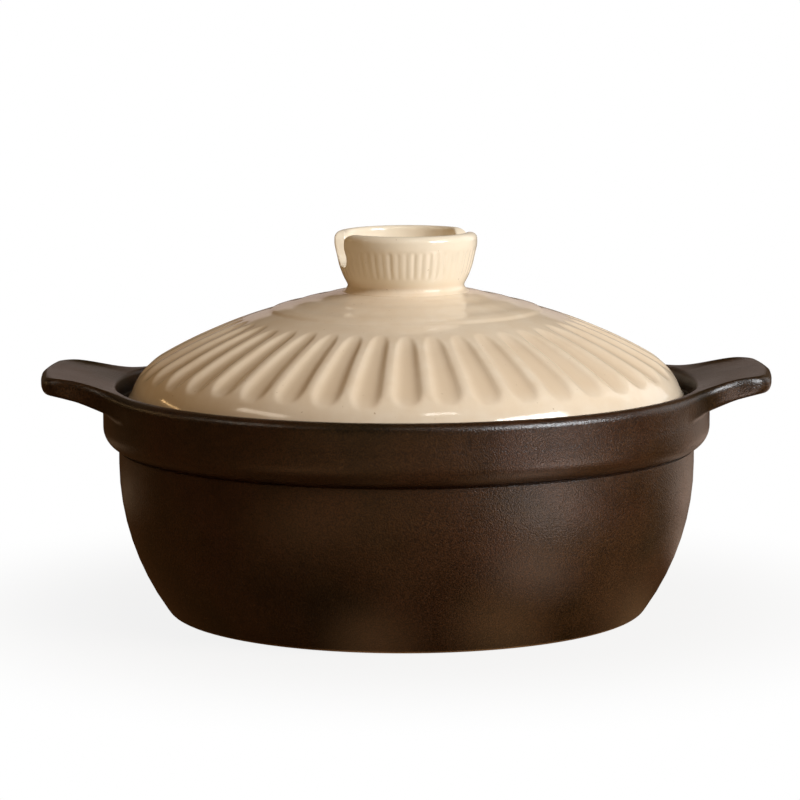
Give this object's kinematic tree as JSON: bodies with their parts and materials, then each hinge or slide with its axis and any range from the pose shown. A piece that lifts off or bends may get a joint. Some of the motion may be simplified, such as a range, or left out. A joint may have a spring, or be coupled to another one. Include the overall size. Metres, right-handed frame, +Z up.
{
  "type": "chinese sand pot",
  "caption": "Shallow round stoneware casserole with lug handles level with its rim and a fluted lift-off lid whose notched ring knob has an open top.",
  "frame": {"origin": "centre of the flat base, on the surface that the pot stands on", "axes": "+Z up, out of the lid's knob; +X through the two handles; +Y to the back"},
  "size_m": [0.3012, 0.25, 0.157],
  "materials": {
    "pot_iron_glaze": "satin dark brown iron glaze on stoneware",
    "lid_cream_glaze": "glossy cream glaze on stoneware"
  },
  "bodies": {
    "pot": {"pot_bowl": "pot_iron_glaze", "handle_right": "pot_iron_glaze", "handle_left": "pot_iron_glaze"},
    "lid": {"lid_dome": "lid_cream_glaze", "lid_knob": "lid_cream_glaze"}
  },
  "joints": [
    {"name": "lid_lift", "type": "slide", "parent": "pot", "child": "lid", "axis": [0, 0, 1], "range_m": [0, 0.12]}
  ]
}
